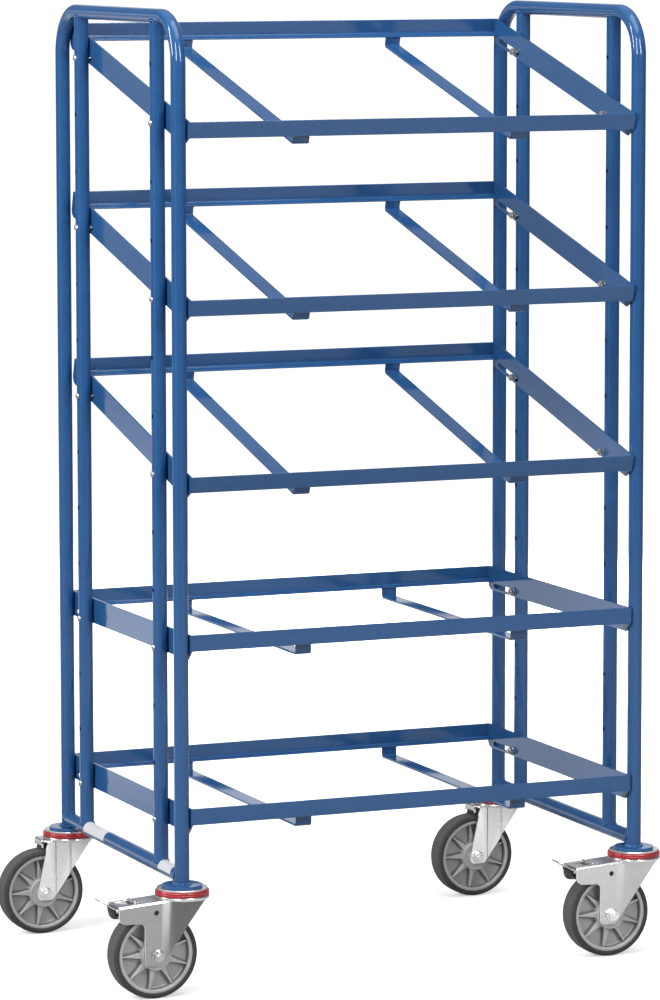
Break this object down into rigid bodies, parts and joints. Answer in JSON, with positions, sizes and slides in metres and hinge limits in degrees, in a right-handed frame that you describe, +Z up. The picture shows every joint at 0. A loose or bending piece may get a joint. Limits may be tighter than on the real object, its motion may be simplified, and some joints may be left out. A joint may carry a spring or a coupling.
{
  "type": "euro box trolley",
  "caption": "Blue tubular box trolley with tilted and level open shelf frames on swivel casters, the front ones braked.",
  "frame": {"origin": "on the floor below the middle of the box around the whole trolley, wheels trailing to the left", "axes": "+X from the left end frame to the right one, +Y from the low front edge of the tilted shelves to the rear, +Z up"},
  "size_m": [1.111, 0.698, 1.757],
  "materials": {
    "blue_powder_coat": "semi-gloss powder coat",
    "zinc_plated_steel": "bright zinc plate",
    "rim_cast_aluminium": "matte cast",
    "tyre_grey_rubber": "smooth solid rubber",
    "red_seal_plastic": "glossy moulded ring",
    "black_brake_rubber": "matte moulded"
  },
  "bodies": {
    "frame": {"caster_head_plates": "zinc_plated_steel", "caster_seal_rings": "red_seal_plastic", "cross_tube_left": "blue_powder_coat", "cross_tube_right": "blue_powder_coat", "foot_flanges": "blue_powder_coat", "hoop_left": "blue_powder_coat", "hoop_right": "blue_powder_coat", "shelf_1_front_rail": "blue_powder_coat", "shelf_1_rear_rail": "blue_powder_coat", "shelf_1_side_plates": "blue_powder_coat", "shelf_1_straps": "blue_powder_coat", "shelf_2_front_rail": "blue_powder_coat", "shelf_2_rear_rail": "blue_powder_coat", "shelf_2_side_plates": "blue_powder_coat", "shelf_2_straps": "blue_powder_coat", "shelf_3_front_rail": "blue_powder_coat", "shelf_3_rear_rail": "blue_powder_coat", "shelf_3_side_plates": "blue_powder_coat", "shelf_3_straps": "blue_powder_coat", "shelf_4_front_rail": "blue_powder_coat", "shelf_4_rear_rail": "blue_powder_coat", "shelf_4_side_plates": "blue_powder_coat", "shelf_4_straps": "blue_powder_coat", "shelf_5_front_rail": "blue_powder_coat", "shelf_5_rear_rail": "blue_powder_coat", "shelf_5_side_plates": "blue_powder_coat", "shelf_5_straps": "blue_powder_coat", "upright_left_front": "blue_powder_coat", "upright_left_rear": "blue_powder_coat", "upright_right_front": "blue_powder_coat", "upright_right_rear": "blue_powder_coat"},
    "swivel_front_left": {"axle_front_left": "zinc_plated_steel", "fork_front_left": "zinc_plated_steel"},
    "swivel_front_right": {"axle_front_right": "zinc_plated_steel", "fork_front_right": "zinc_plated_steel"},
    "swivel_rear_left": {"axle_rear_left": "zinc_plated_steel", "fork_rear_left": "zinc_plated_steel"},
    "swivel_rear_right": {"axle_rear_right": "zinc_plated_steel", "fork_rear_right": "zinc_plated_steel"},
    "brake_front_left": {"brake_pedal_front_left": "zinc_plated_steel", "brake_shoe_front_left": "black_brake_rubber"},
    "brake_front_right": {"brake_pedal_front_right": "zinc_plated_steel", "brake_shoe_front_right": "black_brake_rubber"},
    "wheel_front_left": {"tyre_front_left": "tyre_grey_rubber", "wheel_rim_front_left": "rim_cast_aluminium"},
    "wheel_front_right": {"tyre_front_right": "tyre_grey_rubber", "wheel_rim_front_right": "rim_cast_aluminium"},
    "wheel_rear_left": {"tyre_rear_left": "tyre_grey_rubber", "wheel_rim_rear_left": "rim_cast_aluminium"},
    "wheel_rear_right": {"tyre_rear_right": "tyre_grey_rubber", "wheel_rim_rear_right": "rim_cast_aluminium"}
  },
  "joints": [
    {"name": "swivel_front_left", "type": "hinge", "parent": "frame", "child": "swivel_front_left", "pos_m": [-0.3935, -0.3, 0.18], "axis": [0, 0, 1], "continuous": true},
    {"name": "spin_front_left", "type": "hinge", "parent": "swivel_front_left", "child": "wheel_front_left", "pos_m": [-0.4515, -0.3, 0.08], "axis": [0, 1, 0], "continuous": true},
    {"name": "brake_front_left", "type": "hinge", "parent": "swivel_front_left", "child": "brake_front_left", "pos_m": [-0.4535, -0.3, 0.158], "axis": [0, -1, 0], "range_deg": [0, 5]},
    {"name": "swivel_front_right", "type": "hinge", "parent": "frame", "child": "swivel_front_right", "pos_m": [0.5065, -0.3, 0.18], "axis": [0, 0, 1], "continuous": true},
    {"name": "spin_front_right", "type": "hinge", "parent": "swivel_front_right", "child": "wheel_front_right", "pos_m": [0.4485, -0.3, 0.08], "axis": [0, 1, 0], "continuous": true},
    {"name": "brake_front_right", "type": "hinge", "parent": "swivel_front_right", "child": "brake_front_right", "pos_m": [0.4465, -0.3, 0.158], "axis": [0, -1, 0], "range_deg": [0, 5]},
    {"name": "swivel_rear_left", "type": "hinge", "parent": "frame", "child": "swivel_rear_left", "pos_m": [-0.3935, 0.3, 0.18], "axis": [0, 0, 1], "continuous": true},
    {"name": "spin_rear_left", "type": "hinge", "parent": "swivel_rear_left", "child": "wheel_rear_left", "pos_m": [-0.4515, 0.3, 0.08], "axis": [0, 1, 0], "continuous": true},
    {"name": "swivel_rear_right", "type": "hinge", "parent": "frame", "child": "swivel_rear_right", "pos_m": [0.5065, 0.3, 0.18], "axis": [0, 0, 1], "continuous": true},
    {"name": "spin_rear_right", "type": "hinge", "parent": "swivel_rear_right", "child": "wheel_rear_right", "pos_m": [0.4485, 0.3, 0.08], "axis": [0, 1, 0], "continuous": true}
  ]
}
